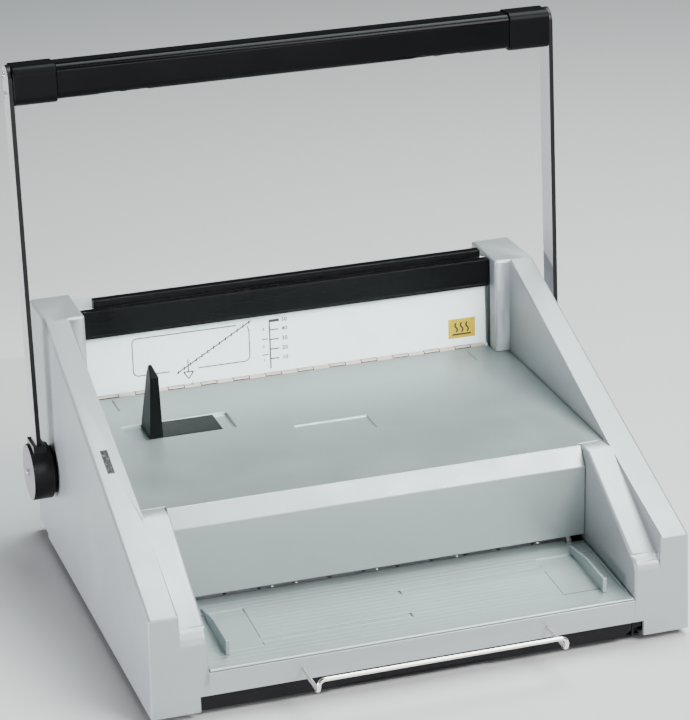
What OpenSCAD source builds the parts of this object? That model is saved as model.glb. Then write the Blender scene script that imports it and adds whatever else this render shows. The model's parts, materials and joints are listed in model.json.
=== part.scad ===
// Desktop punch and binding machine for strip binding.
// X runs across the machine, Y from front to rear, Z up; millimetres.

/* [Body] */
// Half width of the body at its top edge
half_top = 213.2; // [212:0.2:216]
// Outward draft of the side faces per millimetre of height
draft = 0.019; // [0.01:0.001:0.022]
// Depth of the side covers, front to rear
depth = 384.1; // [383:0.1:386]
// Height of the rear of the side covers
rear_h = 203.3; // [202:0.1:206]
// Height of the front of the side bands
front_h = 81.1; // [79:0.1:83]
// Front to rear length of the sloping band
slope_len = 324.4; // [323:0.1:326]
// Wall thickness of the moulded covers
wall = 3; // [2.4:0.1:3.2]
// Depth of the rubber feet and the pan below the side covers
foot_drop = 6; // [5.8:0.1:8]

/* [Table] */
// Height of the table at its front ridge
table_z = 118.4; // [118:0.1:119]
// Rise of the table from its ridge to its rear edge
table_rise = 2.2; // [2:0.1:2.4]
// Rear edge of the table
table_rear = 344.3; // [344:0.1:344.4]
// Pitch of the binding strip's holes
strip_pitch = 28.5; // [28.4:0.1:28.6]

/* [Handle] */
// Height of the hub axis
hub_z = 77; // [76:0.5:78]
// Distance of the hub axis from the front
hub_y = 317; // [316.5:0.5:317.5]
// Backward lean of the handle arms in degrees
lean = 2.5; // [1:0.5:3]
// Length of the arms from the hub axis to their tip
arm_len = 343; // [330:1:350]
// Radius of the hubs
hub_r = 23.6; // [22:0.2:24]

/* [Punching] */
// Number of punch pins
punches = 10; // [6:2:10]
// Radius of a punch pin
pin_r = 1.6; // [1.5:0.05:1.7]
// Height of the tray's front edge
tray_z = 33.2; // [33:0.1:33.6]
// Slope of the punch tray in degrees
tray_tilt = 3.5; // [3:0.1:3.7]

/* [Wire support] */
// Half distance between the two rods
rod_x = 98.5; // [96:0.5:101]
// Radius of the wire
wire_r = 1.65; // [1.5:0.05:1.65]
// How far the wire stands out of the front rail
wire_out = 39.8; // [35:0.1:45]

/* [Hidden] */
$fn = 48;
eps = 0.01;
rear_out = 3.1;
y_mid = (depth + rear_out - wire_out - wire_r) / 2;
slope = atan((rear_h - front_h) / slope_len);
band_x = 192.3;
cheek_x = 171.2;
post_x = 179.2;
post_y = 326;
punch_y = 134;
punch_z = 90;
pin_y = 111;
crank_r = 22;
crank_a = 40;

function hw(z) = half_top + draft * (rear_h - z);
module at() translate([0, -y_mid, foot_drop]) children();
module yz(x0, x1) translate([x0, 0, 0]) rotate([90, 0, 90]) linear_extrude(x1 - x0) children();
module xz(y0, y1) translate([0, y1, 0]) rotate([90, 0, 0]) linear_extrude(y1 - y0) children();
module block(x0, x1, y0, y1, z0, z1) translate([x0, y0, z0]) cube([x1 - x0, y1 - y0, z1 - z0]);
module xrod(x0, x1, y, z, r) translate([x0, y, z]) rotate([0, 90, 0]) cylinder(r = r, h = x1 - x0);
module yrod(y0, y1, x, z, r) translate([x, y0, z]) rotate([-90, 0, 0]) cylinder(r = r, h = y1 - y0);
module zrod(z0, z1, x, y, r) translate([x, y, z0]) cylinder(r = r, h = z1 - z0);
module flip(left) { if (left) mirror([1, 0, 0]) children(); else children(); }
module round_rect(w, h, r) {
  square([w - 2 * r, h], center = true);
  square([w, h - 2 * r], center = true);
  for (i = [-1, 1], j = [-1, 1]) translate([i * (w / 2 - r), j * (h / 2 - r)]) circle(r = r);
}

// Gears: a point of the involute at roll t, and a tooth of module m with n teeth, thinned by play
function inv_pt(rb, t, s) = let (x = rb * (cos(t) + t * PI / 180 * sin(t)), y = rb * (sin(t) - t * PI / 180 * cos(t))) [x, s * y];
function turn(p, a) = [p[0] * cos(a) - p[1] * sin(a), p[0] * sin(a) + p[1] * cos(a)];
function roll_at(rb, r) = r <= rb ? 0 : sqrt(r * r / (rb * rb) - 1) * 180 / PI;
function flank(m, n, play, s) = let (rp = m * n / 2, rb = rp * cos(20), ro = rp + 0.9 * m, tp = roll_at(rb, rp),
  off = tp - 20, half = 90 / n - play / rp * 90 / PI)
  [for (i = [0:4]) let (t = roll_at(rb, ro) * i / 4) turn(inv_pt(rb, t, s), -s * (off + half))];
module tooth(m, n, play) {
  a = flank(m, n, play, 1);
  b = flank(m, n, play, -1);
  rr = m * n / 2 - 1.3 * m;
  w = m * 0.78;
  polygon(concat([[rr, -w]], a, [for (i = [4:-1:0]) b[i]], [[rr, w]]));
}
module gear2d(m, n, play, first, count) {
  circle(r = m * n / 2 - 1.2 * m);
  for (i = [first:first + count - 1]) rotate(i * 360 / n) tooth(m, n, play);
}
// Rack teeth pointing +x, pitch line on x = 0, first tooth centred on y = 0
module rack2d(m, count, play, back) {
  p = PI * m;
  translate([-back, -p / 2]) square([back - 1.2 * m, count * p]);
  for (i = [0:count - 1]) translate([0, i * p])
    polygon([[-1.2 * m - 0.05, -(p / 4 - play + 1.2 * m * tan(20))], [0.9 * m, -(p / 4 - play - 0.9 * m * tan(20))],
             [0.9 * m, p / 4 - play - 0.9 * m * tan(20)], [-1.2 * m - 0.05, p / 4 - play + 1.2 * m * tan(20)]]);
}

// Side cover: sloping band, stepped cheek and rear post, hollow and open below
module band_profile(t) {
  polygon([[t, t > 0 ? -1 : 0], [t, front_h - t * 1.1], [slope_len, rear_h - t * 1.07], [depth - t, rear_h - t], [depth - t, t > 0 ? -1 : 0]]);
}
module cheek_profile(t) {
  difference() {
    union() {
      polygon([[t, 10], [t, 54], [10 + t, 66.4 - t], [97, 118.4 - t * 1.16], [115, 118.4 - t], [115, 10]]);
      translate([12, 54]) circle(r = 12 - t);
    }
    translate([116, 0]) square([60, 150]);
  }
}
module side_shell() {
  difference() {
    union() {
      intersection() {
        yz(band_x, 230) band_profile(0);
        xz(-1, depth + 1) polygon([[band_x, -1], [hw(-1), -1], [hw(rear_h + 1), rear_h + 1], [band_x, rear_h + 1]]);
      }
      difference() {
        yz(cheek_x, band_x + 1) cheek_profile(0);
        block(cheek_x - 1, 178.8, -1, 200, -1, 12.5);
      }
      block(178.8, band_x + 1, 0, 3, 0, 20);
      block(post_x, band_x + 1, post_y, depth, 121, rear_h);
    }
    intersection() {
      yz(band_x + wall, 230) band_profile(wall);
      xz(-1, depth + 1) polygon([[band_x + wall, -2], [hw(-2) - wall, -2], [hw(rear_h + 1) - wall, rear_h + 1], [band_x + wall, rear_h + 1]]);
    }
    block(170, band_x + wall + 1, 117, depth - wall, -1, 117.9);
    intersection() {
      yz(cheek_x + wall, band_x + wall + 1) translate([0, -0.01]) cheek_profile(wall);
      block(cheek_x, 230, wall, 116, -1, 116);
    }
    block(cheek_x + wall, band_x + wall + 1, wall, 112, -1, 30);
    block(cheek_x + wall, band_x + wall + 1, 96, 118, -1, 115);
    block(post_x + wall, band_x + wall + 1, post_y + wall, depth - wall, 100, rear_h - wall);
    block(post_x - 1, post_x + wall + 1, 339.2, 348.9, 120, 200.5);
    block(200, 230, 352, depth + 1, -1, 4);
    xrod(205, 235, hub_y, hub_z, 10.3);
  }
}
module window_cut() translate([-203.4, 162.5, front_h + 162.5 * tan(slope)]) rotate([slope, 0, 0]) cube([5.9, 27.2, 4], center = true);
module left_side_cover() color("silver") at() difference() { mirror([1, 0, 0]) side_shell(); window_cut(); }
module right_side_cover() color("silver") at() side_shell();
module status_window() color("dimgray") at() translate([-203.4, 162.5, front_h + 162.5 * tan(slope)]) rotate([slope, 0, 0]) translate([0, 0, -1.25]) cube([5.7, 27, 1.5], center = true);

module front_rail() color("silver") at() difference() {
  union() {
    difference() {
      union() {
        yz(-cheek_x + 0.05, cheek_x - 0.05) { polygon([[0, 12.5], [0, 30.6], [0.4, 31], [3.2, 31], [3.6, 30.6], [3.6, 12.5]]); }
        for (s = [-1, 1]) yrod(3, 16, s * rod_x, 20.9, 4.5);
      }
    }
  }
  for (s = [-1, 1]) yrod(-1, 17, s * rod_x, 20.9, wire_r + 0.06);
}

module base_pan() color("dimgray") at() difference() {
  union() {
    block(-210, 210, 14, 378, -3, -1.2);
    block(-178, 178, 7.5, 14.1, -3, -1.2);
    block(-210, -208.2, 14, 378, -1.3, 9);
    block(208.2, 210, 14, 378, -1.3, 9);
    block(-210, 210, 376.2, 378, -1.3, 13.6);
    block(170.2, 178.4, 4, 7, 5.9, 12.2);
    block(171.9, 178.4, 11, 12.5, -1.3, 6);
    block(170.2, 172, 4, 100, -1.3, 12.2);
    block(-172, -170.2, 8, 100, -1.3, 12.2);
  }
}
module rubber_feet() color("black") at() for (x = [-150, 150], y = [32, 352]) zrod(-foot_drop, -3, x, y, 9);

module rear_cover() color("gainsboro") at() difference() {
  union() {
    block(-178.9, 178.9, 381.1, 384.1, 14, 198);
    block(-178.9, 178.9, 357.3, 384.1, 195, 198);
    block(-178.9, 178.9, 357.3, 360.3, 190, 198);
    block(-178.9, -176, 362, 384, 121, 198);
    block(176, 178.9, 362, 384, 121, 198);
  }
  block(125.8, 154.2, 370, 390, 30.8, 53.2);
  block(92.8, 113.2, 370, 390, 35.8, 50.2);
  for (z = [70:10:110], s = [-1, 1]) block(s * 60 - 35, s * 60 + 35, 370, 390, z, z + 4);
}

// Table, ridge and front panel in one folded sheet
module deck_profile() polygon([[table_rear, table_z + table_rise], [111.2, table_z], [101, 104.2], [102.9, 44.2], [105.9, 44.2],
  [104.1, 103.3], [112.8, table_z - wall], [table_rear, table_z + table_rise - wall]]);
function deck_at(y) = table_z + table_rise * (y - 111.2) / (table_rear - 111.2);
module top_deck() color([0.66, 0.71, 0.71]) at() difference() {
  union() {
    yz(-band_x + 0.4, band_x - 0.4) deck_profile();
    block(-168, -72, 244, 285, deck_at(264) - 5.6, deck_at(244) - 1);
  }
  for (s = [-1, 1]) block(s > 0 ? 170.9 : -200, s > 0 ? 200 : -170.9, 90, 115.4, 30, 130);
  block(-164.3, -75.5, 247.4, 281.4, deck_at(264) - 3, 130);
  block(-127.5, -93.5, 262, 267, deck_at(264) - 9, 130);
  block(-31, 31, 206, 233, deck_at(220) - 1.2, 130);
  for (s = [-1, 1]) block(s * 157.5 - 0.5, s * 157.5 + 0.5, 315, 340, deck_at(315) - 0.5, 130);
}

module strip_locator_bar() color("antiquewhite") at() difference() {
  block(-176, 176, 344.7, 348.8, 114, 122.1);
  for (k = [-5:6]) block((k - 0.5) * strip_pitch - 7.9 - (k == -5 ? 9 : 0), (k - 0.5) * strip_pitch + 6.1, 345.5, 348.1, 113, 123);
  for (k = [-5:5]) if (k != -3) zrod(113, 123, k * strip_pitch - 0.9, 346.75, 1);
  zrod(113, 123, -3 * strip_pitch - 0.9, 346.75, 1.3);
}
module locating_pin() color("silver") at() union() { zrod(114.5, 123.6, -3 * strip_pitch - 0.9, 346.75, 1.22); zrod(111.3, 114.51, -3 * strip_pitch - 0.9, 346.75, 1.22); zrod(109.8, 111.5, -3 * strip_pitch - 0.9, 346.75, 1.9); }

module scale_panel() color("white") at() block(-178.6, 178.6, 349.2, 351.4, 117, 200);
module top_cap_strip() color([0.1, 0.1, 0.11]) at() union() {
  block(-166.5, 174, 349, 357, 200.3, 207);
  block(-166.5, 174, 352, 357, 190, 200.4);
}

module frame_plate() difference() {
  union() {
    block(184, 186, 118, 338, -1.2, 114.6);
    block(184, 186, 337.9, 372, -1.2, 96);
    block(176, 184.1, 118, 372, -1.2, 0.8);
  }
  xrod(180, 190, hub_y, hub_z, 8.2);
  xrod(180, 190, punch_y, punch_z, 8.2);
}
module left_frame_plate() color("lightsteelblue") at() mirror([1, 0, 0]) frame_plate();
module right_frame_plate() color("lightsteelblue") at() frame_plate();

// Fixed bushings: flanged ones in the side covers, plain ones in the frame plates
module shaft_bushings() color("black") at() for (s = [0, 1]) mirror([s, 0, 0]) {
  difference() {
    union() {
      xrod(216.3, 219.2, hub_y, hub_z, 20);
      xrod(210, 216.4, hub_y, hub_z, 10.2);
    }
    xrod(200, 230, hub_y, hub_z, 6.06);
  }
  for (p = [[hub_y, hub_z], [punch_y, punch_z]]) difference() {
    union() { xrod(181.5, 188, p[0], p[1], 8.15); xrod(186.05, 188, p[0], p[1], 10); }
    xrod(180, 190, p[0], p[1], 6.06);
  }
}

module drive_shaft() color("silver") at() difference() {
  xrod(-234, 234, hub_y, hub_z, 6);
  for (s = [-1, 1]) xrod(s > 0 ? 220 : -235, s > 0 ? 235 : -220, hub_y, hub_z, 2.5);
}
module hub() difference() {
  union() {
    xrod(219.5, 236.5, hub_y, hub_z, hub_r);
    translate([0, hub_y, hub_z]) rotate([-lean, 0, 0]) block(223, 233.5, -13, 13, 10, hub_r + 2.6);
  }
  xrod(219, 234.3, hub_y, hub_z, 6.05);
  xrod(230, 240, hub_y, hub_z, 2.5);
  translate([0, hub_y, hub_z]) rotate([-lean, 0, 0]) block(226.3, 230.5, -11.4, 11.4, -11.4, 40);
}
module left_hub() color([0.12, 0.12, 0.13]) at() mirror([1, 0, 0]) hub();
module right_hub() color([0.12, 0.12, 0.13]) at() hub();
module hub_screws() color("silver") at() for (s = [0, 1]) mirror([s, 0, 0]) {
  difference() { xrod(236.5, 238.4, hub_y, hub_z, 3.3); xrod(237.8, 239, hub_y, hub_z, 1.2); }
  xrod(221, 236.51, hub_y, hub_z, 2.4);
}
module arm() translate([0, hub_y, hub_z]) rotate([-lean, 0, 0]) difference() {
  union() {
    block(226.5, 230.3, -11.15, 11.15, -11.2, arm_len - 11.15);
    xrod(226.5, 230.3, 0, arm_len - 11.15, 11.15);
  }
  xrod(220, 240, 0, 0, 6.05);
  for (s = [319, 335]) xrod(220, 240, 0, s, 1.9);
}
module left_arm() color("silver") at() mirror([1, 0, 0]) arm();
module right_arm() color("silver") at() arm();
module grip_tube() color([0.1, 0.1, 0.11]) at() translate([0, hub_y, hub_z]) rotate([-lean, 0, 0]) difference() {
  yz(-191.4, 191.4) translate([0, 327.5]) round_rect(25, 29, 6);
  yz(-192, 192) translate([0, 327.5]) round_rect(20, 24, 4);
  for (x = [-148.5, -126, 117, 140]) yrod(-20, -5, x, 295, 20.7);
}
module grip_cap() translate([0, hub_y, hub_z]) rotate([-lean, 0, 0]) difference() {
  union() {
    yz(191.5, 226.4) translate([0, 327]) round_rect(28, 32, 7);
    yz(178, 191.6) translate([0, 327.5]) round_rect(19.4, 23.4, 3.7);
  }
  for (s = [319, 335]) xrod(208, 240, 0, s, 1.9);
}
module left_grip_cap() color([0.12, 0.12, 0.13]) at() mirror([1, 0, 0]) grip_cap();
module right_grip_cap() color([0.12, 0.12, 0.13]) at() grip_cap();
module grip_screws() color("silver") at() for (s = [0, 1], a = [319, 335]) mirror([s, 0, 0]) translate([0, hub_y, hub_z]) rotate([-lean, 0, 0]) {
  difference() { xrod(230.3, 231.9, 0, a, 3.1); xrod(231.2, 233, 0, a, 1.3); }
  xrod(210, 230.31, 0, a, 1.8);
}

// Sector gear with the crank pin of the parallel link
module sector_gear() translate([196, hub_y, hub_z]) rotate([90, 0, 90]) difference() {
  union() {
    linear_extrude(5) difference() {
      union() {
        intersection() {
          gear2d(2, 38, 0.22, 9, 12);
          polygon([[0, 0], [-60, -13.5], [-60, 60], [9, 60]]);
        }
        circle(r = 14);
        rotate(90 - crank_a) translate([0, -7]) square([crank_r, 14]);
        rotate(90 - crank_a) translate([crank_r, 0]) circle(r = 7);
      }
      circle(r = 6.05);
    }
    rotate([0, 0, 90 - crank_a]) translate([crank_r, 0, 4.9]) cylinder(r = 3, h = 5.1);
  }
}
module left_sector_gear() color("goldenrod") at() mirror([1, 0, 0]) sector_gear();
module right_sector_gear() color("goldenrod") at() sector_gear();
module link() difference() {
  a = [hub_y + crank_r * sin(crank_a), hub_z + crank_r * cos(crank_a)];
  b = [punch_y + crank_r * sin(crank_a), punch_z + crank_r * cos(crank_a)];
  d = [a[0] - b[0], a[1] - b[1]];
  len = sqrt(d[0] * d[0] + d[1] * d[1]);
  union() {
    xrod(201.8, 204.8, a[0], a[1], 7);
    xrod(201.8, 204.8, b[0], b[1], 7);
    translate([201.8, b[0], b[1]]) rotate([atan2(d[1], d[0]), 0, 0]) translate([0, 0, -5]) cube([3, len, 10]);
  }
  xrod(200, 206, a[0], a[1], 3.05);
  xrod(200, 206, b[0], b[1], 3.6);
}
module left_link() color("lightgray") at() mirror([1, 0, 0]) link();
module right_link() color("lightgray") at() link();
module punch_crank() translate([196, punch_y, punch_z]) rotate([90, 0, 90]) difference() {
  union() {
    cylinder(r = 11, h = 5);
    rotate([0, 0, 90 - crank_a]) translate([0, -6.5, 0]) cube([crank_r, 13, 5]);
    rotate([0, 0, 90 - crank_a]) translate([crank_r, 0, 0]) cylinder(r = 6.5, h = 5);
    rotate([0, 0, 90 - crank_a]) translate([crank_r, 0, 4.9]) cylinder(r = 3, h = 5.1);
  }
  translate([0, 0, -1]) cylinder(r = 6.05, h = 7);
}
module left_punch_crank() color("goldenrod") at() mirror([1, 0, 0]) punch_crank();
module right_punch_crank() color("goldenrod") at() punch_crank();
module punch_shaft() color("silver") at() xrod(-201.2, 201.2, punch_y, punch_z, 6);
module punch_pinions() color("goldenrod") at() for (x = [-104, 96]) translate([x, punch_y, punch_z]) rotate([90, 0, 90])
  difference() { linear_extrude(8) rotate(15) gear2d(1.5, 12, 0.15, 0, 12); translate([0, 0, -1]) cylinder(r = 6.05, h = 10); }

module rack_plate() {
  difference() {
    union() {
      yz(196.3, 200.7) {
        translate([hub_y - 38, hub_z - PI]) rotate(0) rack2d(2, 11, 0.22, 9.6);
        polygon([[hub_y - 47.6, 128], [hub_y - 47.6, 176], [hub_y - 30, 182], [348, 198], [348, 168], [hub_y - 40.4, 168], [hub_y - 40.4, 128]]);
      }
    }
    for (z = [184, 193]) xrod(190, 205, 344, z, 1.9);
  }
}
module left_rack_plate() color("darkkhaki") at() mirror([1, 0, 0]) rack_plate();
module right_rack_plate() color("darkkhaki") at() rack_plate();
module pressure_bar() color([0.09, 0.09, 0.1]) at() difference() {
  union() {
    block(-178.6, 178.6, 340, 348.2, 178.2, 200.8);
    block(-178.6, 178.6, 339.2, 348.2, 177.2, 179.4);
    block(-196.3, 196.3, 340.4, 348, 180, 197);
  }
  for (s = [-1, 1], z = [184, 193]) xrod(s > 0 ? 184 : -197, s > 0 ? 197 : -184, 344, z, 1.9);
}
module rack_screws() color("silver") at() for (s = [0, 1], z = [184, 193]) mirror([s, 0, 0]) {
  xrod(185, 200.71, 344, z, 1.8);
  difference() { xrod(200.7, 202.5, 344, z, 3.4); xrod(201.7, 203, 344, z, 1.5); }
}

// Punching unit
function pin_x(k) = (k - (punches - 1) / 2) * strip_pitch;
module die_block() color("gray") at() difference() {
  union() {
    block(-160, 160, 104.2, 124, 26, 41);
    block(-160, 160, 106.3, 124, 40.9, 56);
  }
  block(-156, 156, 104, 120, 39.4, 44.4);
  block(-156, 156, 104, 108.5, 38.2, 39.5);
  for (k = [0:punches - 1]) zrod(25, 57, pin_x(k), pin_y, pin_r + 0.07);
  for (s = [-1, 1]) zrod(46, 57, s * 148, pin_y + 2, 4.03);
  for (s = [-1, 1]) block(s * rod_x - 4, s * rod_x + 4, 100, 125, 25, 25.5);
}
module punch_guide_rods() color("silver") at() for (s = [-1, 1]) zrod(46, 106, s * 148, pin_y + 2, 4);
module punch_bar() color("slategray") at() difference() {
  union() {
    block(-156, 156, 106.3, 117, 70, 82);
    for (x = [-104.5, 95.5]) yz(x, x + 9) translate([punch_y - 9, punch_z - 1.5 * PI]) rack2d(1.5, 5, 0.15, 8.2);
    for (x = [-104.5, 95.5]) block(x, x + 9, 116.8, 123.2, 70, 84);
  }
  for (s = [-1, 1]) zrod(60, 120, s * 148, pin_y + 2, 4.06);
}
module punch_pins() color("silver") at() for (k = [0:punches - 1]) zrod(46, 70, pin_x(k), pin_y, pin_r);

// Punch tray, built in its own sloping plane
module tray_plane() translate([0, 4, tray_z]) rotate([tray_tilt, 0, 0]) children();
module punch_tray() color([0.68, 0.73, 0.73]) at() tray_plane() difference() {
  union() {
    block(-170.2, 170.2, 0, 99.4, -5, 0);
    yz(-170.2, 170.2) polygon([[0.1, -1.5], [-3.5, -1.5], [-3.8, -1.1], [-3.8, -0.8], [-3.6, -0.35], [-3.2, -0.08], [-2.6, 0], [0.1, 0]]);
    block(-155, 155, 99.3, 104.2, -0.8, 0);
  }
  block(-165, -121, 19, 80, -1.1, 1);
  block(121, 168, 19, 80, -1.1, 1);
  block(-151, 21, 25, 31.6, -6, -1);
  block(-19, 19, 31, 33, -6, -1);
  block(-19, 19, 59.6, 62, -6, -1);
  block(-121.5, -0.5, 25, 31.6, -1.1, 1);
  block(-21, 151, 61, 67.6, -6, -1);
  block(0.5, 121.5, 61, 67.6, -1.1, 1);
  translate([0, 46.3, -6]) difference() { cylinder(r = 16.2, h = 5); cylinder(r = 2.44, h = 12, center = true); }
}
module left_paper_guide() color([0.55, 0.6, 0.6]) at() tray_plane() paper_guide(0);
module right_paper_guide() color([0.6, 0.65, 0.65]) at() tray_plane() translate([0, 92.6, 0]) mirror([0, 1, 0]) mirror([1, 0, 0]) paper_guide(1);
// Left guide; the right one is this turned half round about the pinion, with its own fin
module paper_guide(right) {
  block(-152.6, -121.3, right ? 21 : 19.4, 72, -1.0, -0.05);
  block(-140, -122.2, 25.4, 29.4, -3.2, -0.99);
  block(-122.3, 17.2, 25.4, 29.4, -3.2, -1.25);
  block(-121.4, -2.6, 25.4, 31.2, -1.26, -0.05);
  block(-122.3, -11, 29.3, 31.2, -3.2, -1.25);
  translate([-2 * PI, 31.3, -3.2]) linear_extrude(1.95) rotate(90) mirror([0, 1, 0]) rack2d(1, 8, 0.12, 2.2);
  if (right) {
    translate([-153.6, 0, 0]) yz(0, 2.2) fin_right();
    block(-157.2, -152.5, 21, 72, -1.0, -0.05);
    block(-154, -150.9, 77.9, 80.2, 0.1, 12.4);
  } else {
    translate([-152.6, 0, 0]) yz(0, 2.2) fin_left();
    block(-153, -149.9, 14.4, 16.7, 0.1, 12.4);
  }
}
module fin_left() polygon([[14.5, 0.1], [14.5, 11.6], [17, 11.6], [50, 10.6], [57, 9.4], [86.4, 1.6], [88, 0.9], [88, 0.1], [71, 0.1], [71, -1], [24, -1], [24, 0.1]]);
module fin_right() polygon([[8, 0.1], [8, 2.4], [10, 5.4], [36, 10.2], [43, 11.1], [75, 11.6], [80.1, 11.6], [80.1, 0.1], [71, 0.1], [71, -1], [24, -1], [24, 0.1]]);
module guide_pinion() color("white") at() tray_plane() translate([0, 46.3, -3.2]) difference() {
  linear_extrude(1.9) rotate(0) gear2d(1, 30, 0.12, 0, 30);
  translate([0, 0, -1]) cylinder(r = 2.5, h = 5);
}

module edge_guide() color([0.1, 0.1, 0.11]) at() union() {
  z0 = deck_at(264) - 2.8;
  block(-148, -87, 248, 281, z0, z0 + 2.7);
  block(-112, -104, 262.3, 266.7, z0 - 4, z0 + 0.1);
  block(-116, -100, 259, 270, z0 - 6.5, z0 - 3.4);
  intersection() {
    yz(-148, -136.5) polygon([[250, z0], [249.6, 171.5], [258, 179.3], [260, 179.3], [279.6, z0 + 8], [280.2, z0]]);
    xz(240, 290) polygon([[-147.8, z0], [-145.3, 171.5], [-144, 179.4], [-141.5, 179.4], [-138.3, 171.5], [-136.8, z0]]);
  }
}

module wire_support() color("whitesmoke") at() {
  r = 5;
  for (s = [-1, 1]) {
    yrod(-wire_out + r, 66, s * rod_x, 20.9, wire_r);
    translate([s * rod_x, -wire_out + r, 20.9 + r]) rotate([-90, 0, 0]) rotate([0, 90, 0]) rotate_extrude(angle = 90) translate([r, 0]) circle(r = wire_r);
    translate([s * (rod_x - r), -wire_out, 30.9 - r]) rotate([90, 0, 0]) rotate([0, 0, s > 0 ? 0 : 90]) rotate_extrude(angle = 90) translate([r, 0]) circle(r = wire_r);
  }
  xrod(-rod_x + r, rod_x - r, -wire_out, 30.9, wire_r);
}

module chip_drawer() color([0.3, 0.29, 0.31]) at() difference() {
  union() {
    xz(3.9, 6.9) polygon([[-178, 12.2], [-178, 0.6], [-177.8, -0.9], [-73, -0.9], [-69.5, 1.2], [53.3, 1.2], [56.5, -0.9], [162.5, -0.9], [169.9, 4], [169.9, 12.2]]);
    difference() { block(-160, 160, 6.8, 150, -0.9, 11.4); block(-158.4, 158.4, 8.4, 148.4, 0.6, 12); }
  }
}

// Heated cutter under the locator bar
module heated_blade() color("silver") at() difference() {
  yz(-150, 150) polygon([[356, 106.6], [359, 108.6], [374, 108.6], [374, 106], [356, 106]]);
  for (k = [-5:5]) block(k * strip_pitch - 1.6, k * strip_pitch + 1.6, 355, 359, 105, 112);
}
module blade_carriage() color("dimgray") at() union() {
  block(-155, 155, 360, 378, 98, 106);
  yz(40, 49) translate([367, 94]) rotate(90) translate([0, -3.5 * PI]) mirror([1, 0, 0]) rack2d(1, 6, 0.12, 5.2);
}
module blade_pinion() color("goldenrod") at() translate([40.5, 367, 86]) rotate([90, 0, 90]) difference() {
  linear_extrude(8) rotate(90) gear2d(1, 16, 0.12, 0, 16);
  translate([0, 0, -1]) cylinder(r = 2, h = 10);
}
module blade_motor() color("slategray") at() union() {
  xrod(52, 84, 365, 84, 11);
  xrod(40, 52.1, 367, 86, 1.95);
  block(52, 84, 355, 375, -1.2, 76);
}
module transformer() color("darkslategray") at() union() {
  block(-150, -90, 190, 250, -1.2, 46);
  block(-141, -99, 182, 258, 6, 40);
}
module control_board() color("seagreen") at() union() {
  block(40, 150, 190, 290, 6, 7.6);
  for (x = [46, 144], y = [196, 284]) zrod(-1.2, 6.01, x, y, 2.5);
  block(60, 85, 210, 240, 7.5, 22);
  block(100, 118, 205, 223, 7.5, 24);
  zrod(7.5, 30, 105, 260, 9);
  block(60, 90, 262, 272, 7.5, 13);
}
module power_inlet() color([0.13, 0.13, 0.14]) at() difference() {
  union() { block(126, 154, 362, 384, 31, 53); block(122.5, 157.5, 384.1, 385.8, 27.5, 56.5); block(126, 154, 383.9, 384.2, 31, 53); }
  block(128.5, 151.5, 369, 390, 33.5, 50.5);
}
module power_switch() color([0.07, 0.07, 0.08]) at() intersection() {
  block(93.4, 112.6, 372, 390, 36.4, 49.6);
  union() {
    xrod(93.4, 112.6, 380, 43, 6);
    yz(93.4, 112.6) polygon([[380, 49], [385.6, 48.2], [384.6, 43], [387.2, 37.6], [380, 37]]);
  }
}
module cover_screws() color("silver") at() for (s = [-1, 1], z = [40, 150]) {
  difference() { yrod(depth, depth + 1.6, s * 200, z, 3.4); yrod(depth + 0.8, depth + 3, s * 200, z, 1.5); }
}

base_pan();
rubber_feet();
left_side_cover();
right_side_cover();
front_rail();
rear_cover();
top_deck();
punch_tray();
scale_panel();
strip_locator_bar();
locating_pin();
top_cap_strip();
status_window();
left_frame_plate();
right_frame_plate();
die_block();
punch_guide_rods();
punch_bar();
punch_pins();
punch_shaft();
punch_pinions();
left_punch_crank();
right_punch_crank();
left_link();
right_link();
drive_shaft();
shaft_bushings();
left_hub();
right_hub();
hub_screws();
left_arm();
right_arm();
grip_tube();
left_grip_cap();
right_grip_cap();
grip_screws();
left_sector_gear();
right_sector_gear();
left_rack_plate();
right_rack_plate();
pressure_bar();
rack_screws();
left_paper_guide();
right_paper_guide();
guide_pinion();
edge_guide();
wire_support();
chip_drawer();
heated_blade();
blade_carriage();
blade_motor();
blade_pinion();
transformer();
control_board();
power_inlet();
power_switch();
cover_screws();
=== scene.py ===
"""Looks of the strip punch-and-bind machine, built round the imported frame."""
import bpy, bmesh, math, json
from mathutils import Matrix, Vector


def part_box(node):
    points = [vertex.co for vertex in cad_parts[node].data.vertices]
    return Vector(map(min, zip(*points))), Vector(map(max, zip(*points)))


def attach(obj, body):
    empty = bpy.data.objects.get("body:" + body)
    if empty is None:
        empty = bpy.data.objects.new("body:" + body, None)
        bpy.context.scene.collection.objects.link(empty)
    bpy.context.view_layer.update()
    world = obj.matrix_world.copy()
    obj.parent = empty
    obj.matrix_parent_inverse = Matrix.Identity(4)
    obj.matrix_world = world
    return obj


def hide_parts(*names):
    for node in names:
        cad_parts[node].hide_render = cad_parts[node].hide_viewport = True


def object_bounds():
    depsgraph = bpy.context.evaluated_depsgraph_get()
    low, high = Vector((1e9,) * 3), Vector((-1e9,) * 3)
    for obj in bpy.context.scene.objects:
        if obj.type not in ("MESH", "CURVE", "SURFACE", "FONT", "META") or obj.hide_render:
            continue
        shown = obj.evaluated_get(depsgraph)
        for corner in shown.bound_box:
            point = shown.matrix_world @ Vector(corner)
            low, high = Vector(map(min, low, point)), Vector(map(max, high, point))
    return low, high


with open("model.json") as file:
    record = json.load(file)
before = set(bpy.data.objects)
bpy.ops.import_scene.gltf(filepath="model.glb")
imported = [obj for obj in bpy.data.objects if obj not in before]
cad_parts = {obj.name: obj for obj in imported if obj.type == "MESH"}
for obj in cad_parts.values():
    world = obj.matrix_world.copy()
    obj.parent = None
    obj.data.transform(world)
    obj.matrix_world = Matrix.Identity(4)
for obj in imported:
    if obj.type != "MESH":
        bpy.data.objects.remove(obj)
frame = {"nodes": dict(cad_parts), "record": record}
cad_lo, cad_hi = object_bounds()
N = frame["nodes"]
MM = 0.001


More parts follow.
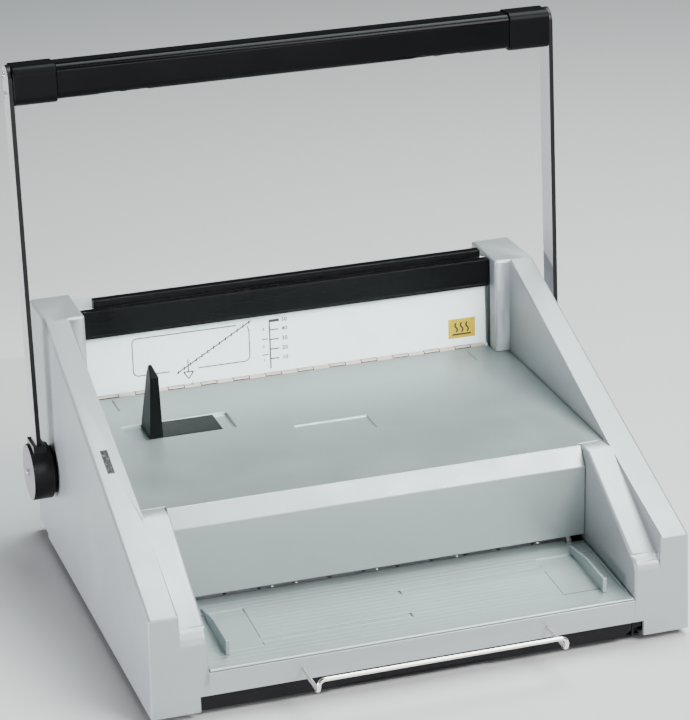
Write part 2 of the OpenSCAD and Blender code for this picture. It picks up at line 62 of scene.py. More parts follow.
# ---------------------------------------------------------------- node helpers
class Mat:
    """A node material on one Principled shader, with small helpers for layered procedural detail."""

    def __init__(self, name):
        self.m = bpy.data.materials.new(name)
        self.m.use_nodes = True
        self.t = self.m.node_tree
        self.t.nodes.clear()
        self.out = self.t.nodes.new("ShaderNodeOutputMaterial")
        self.b = self.t.nodes.new("ShaderNodeBsdfPrincipled")
        self.t.links.new(self.b.outputs[0], self.out.inputs[0])
        tc = self.t.nodes.new("ShaderNodeTexCoord")
        self.co = tc.outputs["Object"]

    def node(self, kind, **kw):
        n = self.t.nodes.new(kind)
        for k, v in kw.items():
            setattr(n, k, v)
        return n

    def link(self, a, b):
        self.t.links.new(a, b)

    def mapped(self, scale=(1, 1, 1), rot=(0, 0, 0), loc=(0, 0, 0)):
        n = self.node("ShaderNodeMapping")
        n.inputs["Scale"].default_value = scale
        n.inputs["Rotation"].default_value = rot
        n.inputs["Location"].default_value = loc
        self.link(self.co, n.inputs[0])
        return n.outputs[0]

    def noise(self, scale, detail=2.0, rough=0.5, vec=None, dist=0.0):
        n = self.node("ShaderNodeTexNoise")
        n.inputs["Scale"].default_value = scale
        n.inputs["Detail"].default_value = detail
        n.inputs["Roughness"].default_value = rough
        n.inputs["Distortion"].default_value = dist
        self.link(vec if vec is not None else self.co, n.inputs["Vector"])
        return n.outputs["Fac"]

    def voronoi(self, scale, vec=None, feature="F1"):
        n = self.node("ShaderNodeTexVoronoi", feature=feature)
        n.inputs["Scale"].default_value = scale
        self.link(vec if vec is not None else self.co, n.inputs["Vector"])
        return n.outputs["Distance"]

    def ramp(self, fac, stops):
        n = self.node("ShaderNodeValToRGB")
        e = n.color_ramp.elements
        while len(e) > 1:
            e.remove(e[-1])
        e[0].position, e[0].color = stops[0][0], (*stops[0][1], 1)
        for p, c in stops[1:]:
            x = e.new(p)
            x.color = (*c, 1)
        self.link(fac, n.inputs[0])
        return n.outputs[0]

    def map_range(self, fac, a, b, lo, hi):
        n = self.node("ShaderNodeMapRange")
        n.inputs[1].default_value, n.inputs[2].default_value = a, b
        n.inputs[3].default_value, n.inputs[4].default_value = lo, hi
        self.link(fac, n.inputs[0])
        return n.outputs[0]

    def math(self, op, a, b):
        n = self.node("ShaderNodeMath", operation=op)
        for i, v in enumerate((a, b)):
            if isinstance(v, (int, float)):
                n.inputs[i].default_value = v
            else:
                self.link(v, n.inputs[i])
        return n.outputs[0]

    def mix(self, fac, a, b, mode="MIX"):
        n = self.node("ShaderNodeMix", data_type="RGBA", blend_type=mode)
        if isinstance(fac, (int, float)):
            n.inputs[0].default_value = fac
        else:
            self.link(fac, n.inputs[0])
        for i, v in ((6, a), (7, b)):
            if isinstance(v, tuple):
                n.inputs[i].default_value = (*v, 1)
            else:
                self.link(v, n.inputs[i])
        return n.outputs[2]

    def bump(self, height, dist, strength=1.0, normal=None):
        n = self.node("ShaderNodeBump")
        n.inputs["Distance"].default_value = dist
        n.inputs["Strength"].default_value = strength
        self.link(height, n.inputs["Height"])
        if normal is not None:
            self.link(normal, n.inputs["Normal"])
        return n.outputs[0]

    def put(self, name, v):
        i = self.b.inputs[name]
        if isinstance(v, (int, float)):
            i.default_value = v
        elif isinstance(v, tuple):
            i.default_value = (*v, 1) if len(v) == 3 else v
        else:
            self.link(v, i)
        return self


def shade(c, k):
    return tuple(max(0.0, x * k) for x in c)


def moulded(name, col, rough=0.46, grain=0.000035, grain_scale=1500.0, cloud=0.05, spec=0.5, specks=0.0, silver=0.0, ribs=0.0):
    """Moulded plastic: fine spark texture, faint clouding, dust-fine specks and softly varying gloss."""
    m = Mat(name)
    cloud_f = m.noise(7.0, 3.0, 0.55)
    base = m.ramp(cloud_f, [(0.28, shade(col, 1 - cloud)), (0.72, shade(col, 1 + cloud))])
    fine = m.noise(420.0, 2.0, 0.6)
    base = m.mix(m.map_range(fine, 0.35, 0.65, 0.0, 0.10), base, shade(col, 0.82))
    if specks:
        sp = m.voronoi(900.0)
        base = m.mix(m.map_range(sp, 0.0, 0.12, specks, 0.0), base, shade(col, 1.25))
    m.put("Base Color", base)
    m.put("Roughness", m.map_range(m.math("ADD", m.noise(26.0, 3.0), m.math("MULTIPLY", fine, 0.4)), 0.4, 1.0, rough - 0.06, rough + 0.07))
    m.put("Specular IOR Level", spec)
    h = m.math("ADD", m.voronoi(grain_scale), m.math("MULTIPLY", m.noise(grain_scale * 0.6, 2.0), 0.6))
    n = m.bump(h, grain, 0.55)
    n = m.bump(m.noise(30.0, 2.0), 0.00012, 0.20, n)
    if ribs:
        # fine moulded lines that run across the machine, stronger in some bands than others
        wv = m.node("ShaderNodeTexWave", wave_type="BANDS", bands_direction="Y", wave_profile="SIN")
        wv.inputs["Scale"].default_value = 60.0
        m.link(m.co, wv.inputs["Vector"])
        zone = m.map_range(m.noise(1.0, 2.0, 0.5, m.mapped((1.2, 38.0, 1.0))), 0.42, 0.62, 0.15, 1.0)
        n = m.bump(m.math("MULTIPLY", wv.outputs["Fac"], zone), ribs, 0.6, n)
    m.put("Normal", n)
    m.put("Metallic", silver)
    return m.m


def powder(name, col, rough=0.4, spec=0.5, streak=None):
    """Painted or powder-coated metal: orange peel, faint rub marks along its length."""
    m = Mat(name)
    base = m.ramp(m.noise(11.0, 3.0), [(0.3, shade(col, 0.86)), (0.7, shade(col, 1.16))])
    rub = m.noise(60.0, 4.0, 0.6, m.mapped(streak or (1, 1, 1)))
    base = m.mix(m.map_range(rub, 0.52, 0.74, 0.0, 0.35), base, shade(col, 1.7))
    m.put("Base Color", base)
    m.put("Roughness", m.map_range(rub, 0.3, 0.7, rough - 0.07, rough + 0.09))
    m.put("Specular IOR Level", spec)
    n = m.bump(m.noise(700.0, 2.0, 0.5), 0.00004, 0.5)
    m.put("Normal", m.bump(m.noise(2600.0, 1.0), 0.00002, 0.4, n))
    return m.m


def metal(name, col, rough=0.3, axis=0, fine=0.00001, tint=0.1, aniso=0.0):
    """Brushed, ground or drawn metal with lines along one axis."""
    m = Mat(name)
    sc = [1400.0, 1400.0, 1400.0]
    sc[axis] = 9.0
    vec = m.mapped(tuple(sc))
    line = m.noise(1.0, 3.0, 0.65, vec)
    cloud = m.noise(19.0, 3.0)
    base = m.ramp(line, [(0.25, shade(col, 1 - tint)), (0.75, shade(col, min(1.0 + tint, 1.6)))])
    base = m.mix(m.map_range(cloud, 0.4, 0.75, 0.0, 0.18), base, shade(col, 0.78))
    m.put("Base Color", base)
    m.put("Metallic", 1.0)
    m.put("Roughness", m.map_range(m.math("ADD", line, m.math("MULTIPLY", cloud, 0.5)), 0.4, 1.1, max(rough - 0.08, 0.04), rough + 0.1))
    m.put("Normal", m.bump(line, fine, 0.5))
    m.put("Anisotropic", aniso)
    return m.m


def speckled_window():
    m = Mat("window_speckle")
    v = m.voronoi(950.0)
    n = m.noise(620.0, 3.0, 0.7)
    k = m.ramp(m.math("ADD", m.math("MULTIPLY", v, 0.7), n), [(0.62, (0.004, 0.004, 0.004)), (0.92, (0.014, 0.0135, 0.013)), (1.10, (0.12, 0.118, 0.115))])
    m.put("Base Color", k)
    m.put("Roughness", m.map_range(n, 0.3, 0.7, 0.16, 0.3))
    m.put("Specular IOR Level", 0.2)
    return m.m


def ink(name, col, rough=0.5):
    m = Mat(name)
    w = m.noise(900.0, 3.0, 0.6)
    m.put("Base Color", m.ramp(w, [(0.3, shade(col, 0.8)), (0.75, shade(col, 1.45))]))
    m.put("Roughness", m.map_range(w, 0.3, 0.7, rough - 0.08, rough + 0.1))
    return m.m


def painted_reflection_by_normal(name, side, edge, rough=0.36, spec=0.5):
    """Sheet-metal bar with painted reflection: the side faces get the light colour, which stands for the bright side
    light they reflect, and the cut edges get the dark colour, which stands for the dark surroundings they reflect. The
    two are told apart by the part's own normal.
    """
    m = Mat(name)
    tc = m.node("ShaderNodeTexCoord")
    sp = m.node("ShaderNodeSeparateXYZ")
    m.link(tc.outputs["Normal"], sp.inputs[0])
    # mask of the faces whose normal points along ±X: these get the painted reflection of the side light
    reflecting_side_mask = m.map_range(m.math("ABSOLUTE", sp.outputs[0], 0.0), 0.80, 0.92, 0.0, 1.0)
    wear = m.noise(55.0, 4.0, 0.6, m.mapped((1, 1, 0.12)))
    a = m.ramp(wear, [(0.3, shade(edge, 0.8)), (0.8, shade(edge, 1.5))])
    b = m.ramp(wear, [(0.3, shade(side, 0.94)), (0.7, shade(side, 1.05))])
    m.put("Base Color", m.mix(reflecting_side_mask, a, b))
    m.put("Roughness", m.map_range(wear, 0.3, 0.7, rough - 0.06, rough + 0.07))
    m.put("Specular IOR Level", spec)
    m.put("Normal", m.bump(m.noise(900.0, 2.0, 0.5), 0.00003, 0.5))
    return m.m


COVER = (0.440, 0.466, 0.484)
DECK = (0.405, 0.465, 0.462)
SILVER = 0.62
mats = {
    "cover_grey": moulded("cover_plastic", COVER, 0.40, 0.000016, 1700.0, 0.02, 0.5, silver=0.45),
    "deck_grey": moulded("deck_plastic", DECK, 0.40, 0.000016, 1600.0, 0.02, 0.5, silver=SILVER),
    "tray_grey": moulded("tray_plastic", DECK, 0.38, 0.000016, 1600.0, 0.02, 0.5, silver=SILVER, ribs=0.0002),
    "guide_grey": moulded("guide_plastic", shade(DECK, 0.95), 0.38, 0.000016, 1500.0, 0.02, 0.5, silver=SILVER, ribs=0.00006),
    "rear_grey": moulded("rear_plastic", (0.52, 0.54, 0.55), 0.42, 0.000025, 1500.0, 0.03),
    "base_dark": moulded("base_plastic", (0.008, 0.0075, 0.009), 0.45, 0.00004, 1100.0, 0.08, 0.18),
    "black_plastic": moulded("black_abs", (0.003, 0.003, 0.0035), 0.36, 0.00003, 1400.0, 0.12, 0.08),
    "black_bar": powder("black_powder", (0.0015, 0.0017, 0.0022), 0.28, 0.15, (0.12, 1, 1)),
    "grip_black": moulded("grip_plastic", (0.0008, 0.0009, 0.0014), 0.20, 0.000012, 1500.0, 0.1, 0.10),
    # arms: the light grey side faces and the black front edges are painted reflection, picked by the face normal
    "arm_silver": painted_reflection_by_normal("arm_painted_reflection", (0.50, 0.50, 0.535), (0.003, 0.003, 0.004), 0.36, 0.25),
    # hubs: black plastic; the light grey outer face is painted reflection of the side light, picked by the face normal
    "hub_face": painted_reflection_by_normal("hub_painted_reflection", (0.26, 0.26, 0.28), (0.005, 0.0053, 0.006), 0.38, 0.22),
    "white_panel": moulded("panel_white", (0.88, 0.975, 0.98), 0.30, 0.000005, 1200.0, 0.015, 0.5),
    "cream_plastic": moulded("cream_abs", (0.70, 0.60, 0.52), 0.45, 0.00002, 1500.0, 0.05),
    "window_dark": speckled_window(),
    "steel": metal("sheet_steel", (0.55, 0.56, 0.57), 0.34, 1),
    "shaft_steel": metal("ground_steel", (0.62, 0.63, 0.64), 0.22, 0),
    "gear_steel": metal("passivated_steel", (0.60, 0.53, 0.36), 0.33, 2),
    "wire_chrome": metal("bright_wire", (0.96, 0.93, 0.87), 0.24, 0, 0.000006, 0.04),
    "screw_steel": metal("screw_steel", (0.86, 0.86, 0.84), 0.24, 1),
    "rubber": moulded("foot_rubber", (0.017, 0.017, 0.018), 0.75, 0.00006, 900.0, 0.15, 0.3),
    "nylon": moulded("natural_nylon", (0.72, 0.70, 0.64), 0.42, 0.00002, 1300.0, 0.04),
    "circuit_board": moulded("solder_resist", (0.02, 0.16, 0.07), 0.3, 0.00003, 500.0, 0.2),
    "transformer_core": powder("core_varnish", (0.05, 0.055, 0.06), 0.4, 0.5, (1, 8, 1)),
    "motor_case": metal("zinc_case", (0.42, 0.43, 0.45), 0.38, 0),
}
own = {"left_hub": "hub_face", "right_hub": "hub_face", "punch_tray": "tray_grey"}
rec = frame["record"]
slot_of = {s["node"]: s["material_slot"] for s in rec["subparts"]}
for name, ob in N.items():
    m = mats[own.get(name, slot_of[name])]
    if not ob.data.materials:
        ob.data.materials.append(m)
    for i in range(len(ob.material_slots)):
        ob.material_slots[i].material = m


# ------------------------------------------------------------ rounded CAD edges
def soften(name, width, seg=3, angle=28, dissolve=1.0, clamp=False):
    """Planar clean-up, then a real fillet on the node's sharp edges, as modifiers on the unchanged mesh."""
    ob = N[name]
    for p in ob.data.polygons:
        p.use_smooth = True
    wd = ob.modifiers.new("weld", "WELD")
    wd.merge_threshold = 2e-6
    if dissolve:
        d = ob.modifiers.new("planar", "DECIMATE")
        d.decimate_type = "DISSOLVE"
        d.angle_limit = math.radians(dissolve)
    b = ob.modifiers.new("fillet", "BEVEL")
    b.width = width * MM
    b.segments = seg
    b.limit_method = "ANGLE"
    b.angle_limit = math.radians(angle)
    b.miter_outer = "MITER_SHARP"
    b.use_clamp_overlap = clamp
    b.harden_normals = True
    w = ob.modifiers.new("normals", "WEIGHTED_NORMAL")
    w.keep_sharp = False
    w.weight = 60


for n_, w_ in (("top_deck", 0.8), ("rear_cover", 0.8),
               ("punch_tray", 0.25), ("left_paper_guide", 0.3), ("right_paper_guide", 0.3), ("pressure_bar", 0.35), ("top_cap_strip", 0.6),
               ("edge_guide", 0.6), ("left_hub", 0.8), ("right_hub", 0.8), ("left_arm", 0.35), ("right_arm", 0.35), ("grip_tube", 0.5),
               ("left_grip_cap", 0.9), ("right_grip_cap", 0.9), ("base_pan", 0.4), ("chip_drawer", 0.4), ("scale_panel", 0.15),
               ("strip_locator_bar", 0.15), ("power_inlet", 0.5), ("power_switch", 0.6), ("rubber_feet", 0.5), ("hub_screws", 0.3), ("grip_screws", 0.25),
               ("cover_screws", 0.25), ("status_window", 0.1), ("shaft_bushings", 0.4)):
    soften(n_, w_)

YM = (384.1 + 3.1 - 39.8 - 1.65) / 2
# Fillets of the side covers, each a run of points (x, y, z) from the machine's front foot corner and a radius in millimetres
RUNS = [
    (2.4, [(215.52, 0, 81.1), (213.2, 324.4, 203.3), (213.2, 384.1, 203.3)]),
    (2.0, [(192.3, 0, 81.1), (192.3, 324.4, 203.3), (192.3, 326, 203.3)]),
    (1.6, [(192.3, 0, 81.1), (215.52, 0, 81.1)]),
    (2.0, [(215.52, 0, 81.1), (217.06, 0, 0)]),
    (1.4, [(192.3, 0, 68), (192.3, 0, 81.1)]),
    (3.0, [(171.2, 0, 36), (171.2, 0, 54)]),
    (3.4, [(179.2, 326, 121), (179.2, 326, 203.3)]),
    (2.4, [(179.2, 326, 203.3), (192.3, 326, 203.3)]),
    (2.4, [(179.2, 326, 203.3), (179.2, 384.1, 203.3)]),
    (2.0, [(179.2, 384.1, 203.3), (213.2, 384.1, 203.3)]),
    (2.0, [(213.2, 384.1, 203.3), (217.06, 384.1, 0)]),
    (1.4, [(171.2, 115, 118.4), (192.3, 115, 118.4)]),
]
CHEEK = [(0, 54)] + [(12 - 12 * math.cos(math.radians(a)), 54 + 12 * math.sin(math.radians(a))) for a in range(0, 61)] + [(10, 66.73), (97, 118.4), (115, 118.4)]
RUNS.append((3.0, [(171.2, y, z) for y, z in CHEEK]))
RUNS.append((3.2, [(192.3, y, z) for y, z in CHEEK if y > 3.4]))


def near(p, run, tol):
    for a, b in zip(run, run[1:]):
        a, b = Vector(a), Vector(b)
        d = b - a
        if d.length < 1e-6:
            continue
        t = max(0.0, min(1.0, (p - a).dot(d) / d.length_squared))
        if (a + d * t - p).length < tol:
            return True
    return False


def recut(name, mat, mirror):
    """The cover's own faces, welded and cleaned, with the run of fillets above; it stands for the CAD node."""
    src = N[name]
    bm = bmesh.new()
    bm.from_mesh(src.data)
    bmesh.ops.transform(bm, matrix=src.matrix_world, verts=bm.verts)
    bmesh.ops.remove_doubles(bm, verts=bm.verts, dist=2e-6)
    bmesh.ops.dissolve_limit(bm, angle_limit=math.radians(1), verts=bm.verts, edges=bm.edges)
    sx = -1 if mirror else 1

    def mach(v):
        return Vector((sx * v.co.x / MM, v.co.y / MM + YM, v.co.z / MM - 6))

    for e in list(bm.edges):
        a, b = mach(e.verts[0]), mach(e.verts[1])
        if abs(a.x - 171.2) < 0.1 and abs(b.x - 171.2) < 0.1 and abs(a.y) < 0.1 and abs(b.y) < 0.1 and abs(a.z - b.z) > 30:
            t = (36 - a.z) / (b.z - a.z)
            bmesh.utils.edge_split(e, e.verts[0], t)
        if abs(a.x - 192.3) < 0.1 and abs(b.x - 192.3) < 0.1 and abs(a.y) < 0.1 and abs(b.y) < 0.1 and max(a.z, b.z) > 80 and min(a.z, b.z) < 60:
            t = (68 - a.z) / (b.z - a.z)
            bmesh.utils.edge_split(e, e.verts[0], t)
    for v in bm.verts:
        m = mach(v)
        if abs(m.y - 10) < 0.05 and abs(m.z - 66.4) < 0.05:
            v.co.z += 0.33 * MM          # takes the kink out between the nose's arc and the slope
    lay = bm.edges.layers.float.new("bevel_weight_edge")
    top = max(w for w, _ in RUNS)
    hit = 0
    for e in bm.edges:
        if len(e.link_faces) != 2 or e.calc_face_angle(0) < 0.2:
            continue
        a, b = mach(e.verts[0]), mach(e.verts[1])
        for w, run in RUNS:
            if near(a, run, 0.35) and near(b, run, 0.35) and near((a + b) / 2, run, 0.35):
                e[lay] = w / top
                hit += 1
                break
        if e[lay] == 0.0 and e.calc_face_angle(0) > 0.6:
            e.smooth = False
    for f in bm.faces:
        f.smooth = True
    me = bpy.data.meshes.new(name + "_moulding")
    bm.to_mesh(me)
    bm.free()
    me.materials.append(mat)
    ob = bpy.data.objects.new(name + "_moulding", me)
    bpy.context.scene.collection.objects.link(ob)
    b = ob.modifiers.new("fillet", "BEVEL")
    b.width = top * MM
    b.segments = 4
    b.limit_method = "WEIGHT"
    b.use_clamp_overlap = False
    b.miter_outer = "MITER_SHARP"
    b.harden_normals = True
    w = ob.modifiers.new("normals", "WEIGHTED_NORMAL")
    w.keep_sharp = True
    w.weight = 60
    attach(ob, "housing")
    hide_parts(name)
    print("cover", name, "filleted edges", hit)
    return ob


recut("left_side_cover", mats["cover_grey"], True)
recut("right_side_cover", mats["cover_grey"], False)

# ---------------------------------------------------------------- new pieces
_extra = {}


def piece(name, verts, faces, mat, body="housing", slot=None, bevel=0.0, smooth=False):
    me = bpy.data.meshes.new(name)
    me.from_pydata([tuple(v) for v in verts], [], faces)
    me.validate()
    me.update()
    bm = bmesh.new()
    bm.from_mesh(me)
    bmesh.ops.recalc_face_normals(bm, faces=bm.faces)
    bm.to_mesh(me)
    bm.free()
    ob = bpy.data.objects.new(name, me)
    bpy.context.scene.collection.objects.link(ob)
    me.materials.append(mat)
    if smooth:
        for p in me.polygons:
            p.use_smooth = True
    if bevel:
        b = ob.modifiers.new("edge", "BEVEL")
        b.width, b.segments, b.limit_method = bevel * MM, 2, "ANGLE"
        b.angle_limit = math.radians(30)
    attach(ob, body)
    return ob


def slab(poly, y0, y1, origin=0):
    """A prism from a polygon in (x, z) between two y values; returns vertices and faces."""
    n = len(poly)
    v = [(x, y0, z) for x, z in poly] + [(x, y1, z) for x, z in poly]
    f = [tuple(range(n - 1, -1, -1)), tuple(range(n, 2 * n))] + [(i, (i + 1) % n, n + (i + 1) % n, n + i) for i in range(n)]
    return v, f


def merge(parts):
    V, F = [], []
    for v, f in parts:
        o = len(V)
        V += list(v)
        F += [tuple(i + o for i in t) for t in f]
    return V, F


def stroke(p, q, w):
    """A flat bar of width w from p to q in (x, z)."""
    d = Vector((q[0] - p[0], q[1] - p[1]))
    d.normalize()
    n = Vector((-d[1], d[0])) * (w / 2)
    return [(p[0] + n[0], p[1] + n[1]), (q[0] + n[0], q[1] + n[1]), (q[0] - n[0], q[1] - n[1]), (p[0] - n[0], p[1] - n[1])]


def arc_pts(c, r, a0, a1, n=8):
    return [(c[0] + r * math.cos(math.radians(a0 + (a1 - a0) * i / n)), c[1] + r * math.sin(math.radians(a0 + (a1 - a0) * i / n))) for i in range(n + 1)]


def path_bar(pts, w):
    """One closed outline of constant width along an open path."""
    L, R = [], []
    for i, p in enumerate(pts):
        a = Vector(pts[max(i - 1, 0)])
        b = Vector(pts[min(i + 1, len(pts) - 1)])
        d = (b - a).normalized()
        n = Vector((-d.y, d.x)) * (w / 2)
        L.append((p[0] + n.x, p[1] + n.y))
        R.append((p[0] - n.x, p[1] - n.y))
    return L + R[::-1]


# Printed panel: positions count from the panel's own box
plo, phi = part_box("scale_panel")
px0 = (plo[0] + phi[0]) / 2
front = plo[1]
base_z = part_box("strip_locator_bar")[1][2]          # top of the locator bar


def pp(x, z):
    """x from the panel's middle and z above the locator bar, in millimetres, to metres."""
    return (px0 + x * MM, base_z + z * MM)


def printed(name, outlines, mat, thick=0.05, slot="window_dark"):
    parts = [slab([pp(*q) for q in o], front - thick * MM, front + 0.02 * MM) for o in outlines]
    return piece(name, *merge(parts), mat, slot=slot)


INK = ink("print_ink", (0.008, 0.009, 0.010))
INKG = ink("print_ink_soft", (0.035, 0.038, 0.042))
YEL = ink("caution_yellow", (0.46, 0.32, 0.0), 0.7)

Z0 = 3.4                                            # ruler zero above the locator bar
ruler = [stroke((-16.2, Z0), (-16.2, Z0 + 43.2), 1.1)]
ruler += [stroke((-16.0, Z0 + 8.7 * k), (-8.4, Z0 + 8.7 * k), 1.0) for k in range(1, 5)]
ruler.append(stroke((-16.5, Z0 + 42.9), (-7.6, Z0 + 42.9), 2.4))
printed("ruler_scale", ruler, INK)
inch = [stroke((-23.4, Z0 + 12.9), (-18.0, Z0 + 12.9), 0.9), stroke((-23.4, Z0 + 27.0), (-18.0, Z0 + 27.0), 0.9)]
printed("ruler_inch_ticks", inch, INKG)
r = 4.5
loop1 = path_bar([(-45.5, 46.4)] + [(-100, 46.4)] + arc_pts((-131.5, 41.9), r, 90, 180) + [(-136, 30)] + arc_pts((-131.5, 17.6), r, 180, 270) + [(-104.6, 13.1)], 0.85)
loop2 = path_bar([(-79.6, 13.1), (-55, 13.1)] + arc_pts((-38.9, 17.6), r, 270, 360) + [(-34.4, 40.5), (-35.6, 44.2)], 0.85)
printed("hint_frame", [loop1, loop2], INK)
d0, d1 = Vector((-98.5, 10.6)), Vector((-32.8, 48.6))
dd = (d1 - d0)
tk = [stroke(d0, d1, 0.95)]
nn = Vector((-dd.y, dd.x)).normalized()
for i in range(13):
    c = d0 + dd * (0.02 + 0.96 * i / 12)
    tk.append(stroke(c - nn * 1.3 - dd.normalized() * 0.7, c + nn * 1.3 + dd.normalized() * 0.7, 0.9))
printed("hint_strip", tk, INK)
arrow = [stroke((-88.6, 22.0), (-88.6, 11.2), 0.9)]
tri = [(-92.7, 10.9), (-84.2, 10.6), (-88.5, 4.6)]
for a, b in ((0, 1), (1, 2), (2, 0)):
    arrow.append(stroke(tri[a], tri[b], 0.95))
printed("hint_arrow", arrow, INK)
# plain coloured square with a generic heat mark
printed("caution_square", [[(144.3, 7.0), (168.8, 7.0), (168.8, 24.6), (144.3, 24.6)]], YEL, 0.06, slot="cream_plastic")
waves = []
for k in range(3):
    x0 = 151.5 + 5.0 * k
    waves.append(path_bar([(x0 + 1.1 * math.sin(t / 10 * math.pi * 2), 12.5 + t * 0.85) for t in range(11)], 1.5))
waves.append(stroke((148.0, 10.4), (165.0, 10.4), 1.5))
printed("caution_heat_mark", waves, INK, 0.1)


def digits(txt, x, z, size, mat, name):
    cu = bpy.data.curves.new(name, "FONT")
    cu.body = txt
    cu.size = size * MM
    cu.extrude = 0.03 * MM
    cu.offset = 0.10 * MM
    cu.align_x, cu.align_y = "LEFT", "CENTER"
    cu.resolution_u = 3
    ob = bpy.data.objects.new(name + "_src", cu)
    bpy.context.scene.collection.objects.link(ob)
    dg = bpy.context.evaluated_depsgraph_get()
    me = bpy.data.meshes.new_from_object(ob.evaluated_get(dg))
    bpy.data.objects.remove(ob)
    X, Z = pp(x, z)
    me.transform(Matrix.Translation((X, front - 0.03 * MM, Z)) @ Matrix.Rotation(math.pi / 2, 4, "X"))
    o = bpy.data.objects.new(name, me)
    bpy.context.scene.collection.objects.link(o)
    me.materials.clear()
    me.materials.append(mat)
    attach(o, "housing")
    return o


for k in range(1, 6):
    digits(str(10 * k), -5.6, Z0 + (8.7 * k if k < 5 else 42.9), 5.0, INK, f"digits_{10 * k}")
for i, zz in enumerate((8.2, 20.4, 36.0)):
    digits("123"[i], -22.6, Z0 + zz, 3.4, INK, f"digits_inch_{i + 1}")

# slots of the locator bar: a pale floor just under the top, and round each slot an outline of thin black strips that is
# painted shadow, standing for the shade along the slot's front and rear edges and its ends
blo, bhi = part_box("strip_locator_bar")
deck_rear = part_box("top_deck")[1][2]
PITCH = 28.5


def cuboid(x0, x1, y0, y1, z0, z1):
    v = [(x, y, z) for z in (z0, z1) for y in (y0, y1) for x in (x0, x1)]
    return v, [(0, 2, 3, 1), (4, 5, 7, 6), (0, 1, 5, 4), (2, 6, 7, 3), (0, 4, 6, 2), (1, 3, 7, 5)]


lines, floors = [], []
for k in range(-5, 7):
    xa = ((k - 0.5) * PITCH - 7.9 - (9 if k == -5 else 0)) * MM
    xb = ((k - 0.5) * PITCH + 6.1) * MM
    t_ = 0.06 * MM
    lines.append(cuboid(xa, xb, blo[1] - t_, blo[1] + 0.02 * MM, deck_rear - 0.1 * MM, deck_rear + 0.62 * MM))
    lines.append(cuboid(xa, xb, bhi[1] - 0.62 * MM, bhi[1] - 0.02 * MM, bhi[2] - 0.02 * MM, bhi[2] + t_))
    for xe in (xa - 0.35 * MM, xb - 0.35 * MM):
        lines.append(cuboid(xe, xe + 0.7 * MM, blo[1] - t_, blo[1] + 0.02 * MM, deck_rear - 0.1 * MM, bhi[2] + t_))
        lines.append(cuboid(xe, xe + 0.7 * MM, blo[1] - t_, bhi[1] - 0.02 * MM, bhi[2] - 0.02 * MM, bhi[2] + t_))
    floors.append(cuboid(xa + 0.1 * MM, xb - 0.1 * MM, blo[1] + 0.9 * MM, bhi[1] - 0.8 * MM, bhi[2] - 2.5 * MM, bhi[2] - 0.5 * MM))
# the thin black strips are painted shadow lines along the slot edges
piece("locator_slot_shadow_lines", *merge(lines), mats["black_plastic"], slot="black_plastic")
piece("locator_slot_floors", *merge(floors), moulded("slot_floor", (0.50, 0.48, 0.45), 0.5), slot="cream_plastic")

# little guide nubs along the punch throat
dlo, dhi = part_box("top_deck")
throat_z = dlo[2]
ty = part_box("die_block")[0][1]


def lozenge(cx, cy, cz, a, b, c, n=10):
    """Flattened half-round nub."""
    V, F = [], []
    for j, (s, h) in enumerate(((1.0, -0.3), (1.0, 0.1), (0.8, 0.6), (0.4, 0.92))):
        for i in range(n):
            t = 2 * math.pi * i / n
            V.append((cx + a * s * math.cos(t), cy + b * s * math.sin(t), cz + c * h))
    for j in range(3):
        for i in range(n):
            k = (i + 1) % n
            F.append((j * n + i, j * n + k, (j + 1) * n + k, (j + 1) * n + i))
    F.append(tuple(range(n - 1, -1, -1)))
    F.append(tuple(3 * n + i for i in range(n)))
    return V, F


nubs = [lozenge(x * MM, ty - 3.2 * MM, throat_z - 0.1 * MM, 1.0 * MM, 0.8 * MM, -0.7 * MM) for x in (-92, -72.5, -6, 61, 129.5)]
piece("throat_nubs", *merge(nubs), mats["nylon"], slot="nylon", smooth=True)

# ------------------------------------------------------------------ the floor
zf = cad_lo[2]
bpy.ops.mesh.primitive_plane_add(size=1)
floor = bpy.context.object
floor.name = "floor"
floor.scale = (12, 12, 1)
floor.location = (0, 0, zf)
fm = Mat("floor_paper")
fm.put("Base Color", fm.ramp(fm.noise(3.0, 3.0), [(0.3, (0.70, 0.70, 0.70)), (0.7, (0.73, 0.73, 0.73))]))
fm.put("Roughness", 0.9)
floor.data.materials.append(fm.m)

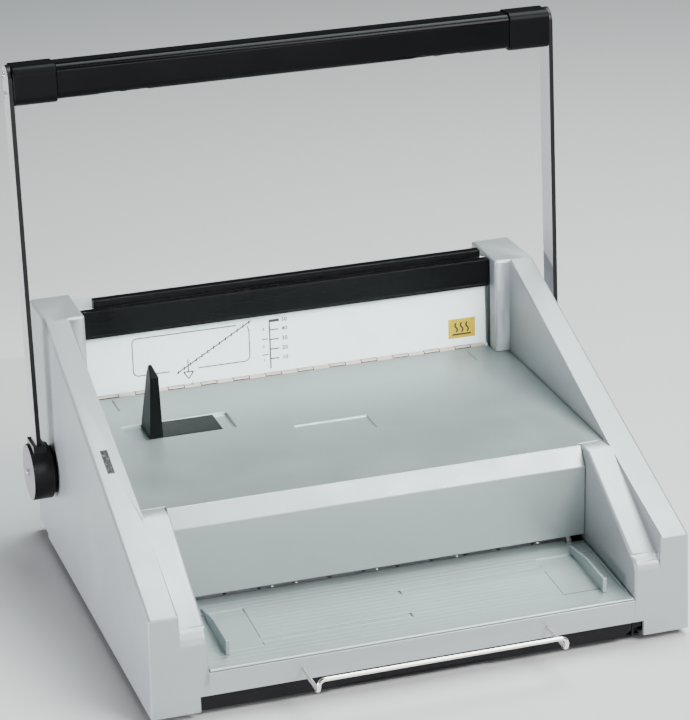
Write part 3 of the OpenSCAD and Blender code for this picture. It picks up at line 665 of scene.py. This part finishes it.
# ------------------------------------------------------------------ light
w = bpy.data.worlds.new("studio")
bpy.context.scene.world = w
w.use_nodes = True
w.node_tree.nodes["Background"].inputs[0].default_value = (0.93, 0.96, 1.0, 1)
w.node_tree.nodes["Background"].inputs[1].default_value = 0.09


def area(name, loc, target, size, power, col=(1, 1, 1), sy=None, spread=None):
    d = bpy.data.lights.new(name, "AREA")
    d.shape = "RECTANGLE"
    d.size, d.size_y = size, sy or size
    d.energy = power
    d.color = col
    if spread:
        d.spread = math.radians(spread)
    o = bpy.data.objects.new(name, d)
    bpy.context.scene.collection.objects.link(o)
    o.location = loc
    o.rotation_euler = (Vector(target) - Vector(loc)).to_track_quat("-Z", "Y").to_euler()
    return o


area("key_front_top", (1.05, -1.45, 1.70), (0, -0.02, 0.1), 1.1, 64, (1.0, 1.0, 0.99))
area("over", (0.55, 0.30, 1.85), (0, 0.1, 0.1), 1.2, 56, (0.90, 1.0, 0.985))
area("card_left", (-2.1, -0.10, 0.15), (-0.2, 0, 0.10), 1.5, 60, (0.97, 0.96, 1.0), 0.28)
area("card_front", (0.25, -2.9, 0.45), (0, 0, 0.1), 1.6, 30, (0.97, 0.975, 1.0), 0.6)
area("panel_wash", (0.10, -1.20, 0.90), (0, 0.175, 0.158), 0.42, 0.30, (0.93, 1.0, 1.0), 0.02, spread=10)

# ------------------------------------------------------------------ camera
cd = bpy.data.cameras.new("camera")
cam = bpy.data.objects.new("camera", cd)
bpy.context.scene.collection.objects.link(cam)
bpy.context.scene.camera = cam
cd.sensor_fit = "AUTO"
cd.sensor_width = 36
cd.lens = 2962.774 * 36 / 720
cd.shift_x = (345 - 357.099) / 720
cd.shift_y = (359.797 - 360) / 720
cd.clip_start, cd.clip_end = 0.05, 50
right = Vector((0.9502880553, -0.3102971018, -0.0258518961))
up = Vector((0.1346120818, 0.3345431100, 0.9327167282))
fwd = Vector((0.2807707238, 0.8898295433, -0.3596820603))
R = Matrix((right, up, -fwd)).transposed().to_4x4()
ymid = (384.1 + 3.1 - 39.8 - 1.65) / 2
cam.matrix_world = Matrix.Translation((-0.653694, -1.915249 - ymid * MM, 1.037422 + 0.006)) @ R
